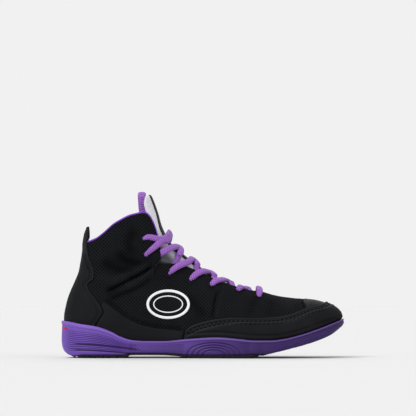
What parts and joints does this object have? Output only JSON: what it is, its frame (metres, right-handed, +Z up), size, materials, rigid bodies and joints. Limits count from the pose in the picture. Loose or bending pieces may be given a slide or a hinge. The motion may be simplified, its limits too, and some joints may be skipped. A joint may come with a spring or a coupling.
{
  "type": "wrestling shoe",
  "caption": "High-top wrestling shoe for the right foot: thin cupped rubber sole, laced mesh bootie with heel counter and tab, toe rand, padded tongue and pull loop.",
  "frame": {"origin": "centre of the bounding box at floor level, under the middle of the sole", "axes": "+X from heel to toe, +Y to the inner (medial) side of the right foot, +Z up"},
  "size_m": [0.2867, 0.1, 0.1657],
  "materials": {
    "outsole_rubber": "black moulded rubber, dull",
    "midsole_eva": "purple moulded midsole foam with a satin skin",
    "footbed": "dark fabric over foam",
    "mesh_upper": "black knitted mesh, dull",
    "synthetic_overlay": "black smooth synthetic, low sheen",
    "binding": "purple woven binding",
    "tongue_mesh": "light grey knitted mesh over foam with a black middle",
    "lace": "purple braided lace"
  },
  "bodies": {
    "root": {"outsole": "outsole_rubber", "midsole": "midsole_eva", "insole": "footbed", "upper": "mesh_upper", "heel_counter": "synthetic_overlay", "side_panel_lateral": "synthetic_overlay", "side_panel_medial": "synthetic_overlay", "toe_rand": "synthetic_overlay", "collar_binding": "binding", "tongue": "tongue_mesh", "pull_loop": "lace", "lace_1": "lace", "lace_2": "lace", "lace_3": "lace", "lace_4": "lace", "lace_5": "lace", "lace_6": "lace", "lace_7": "lace"}
  },
  "joints": []
}
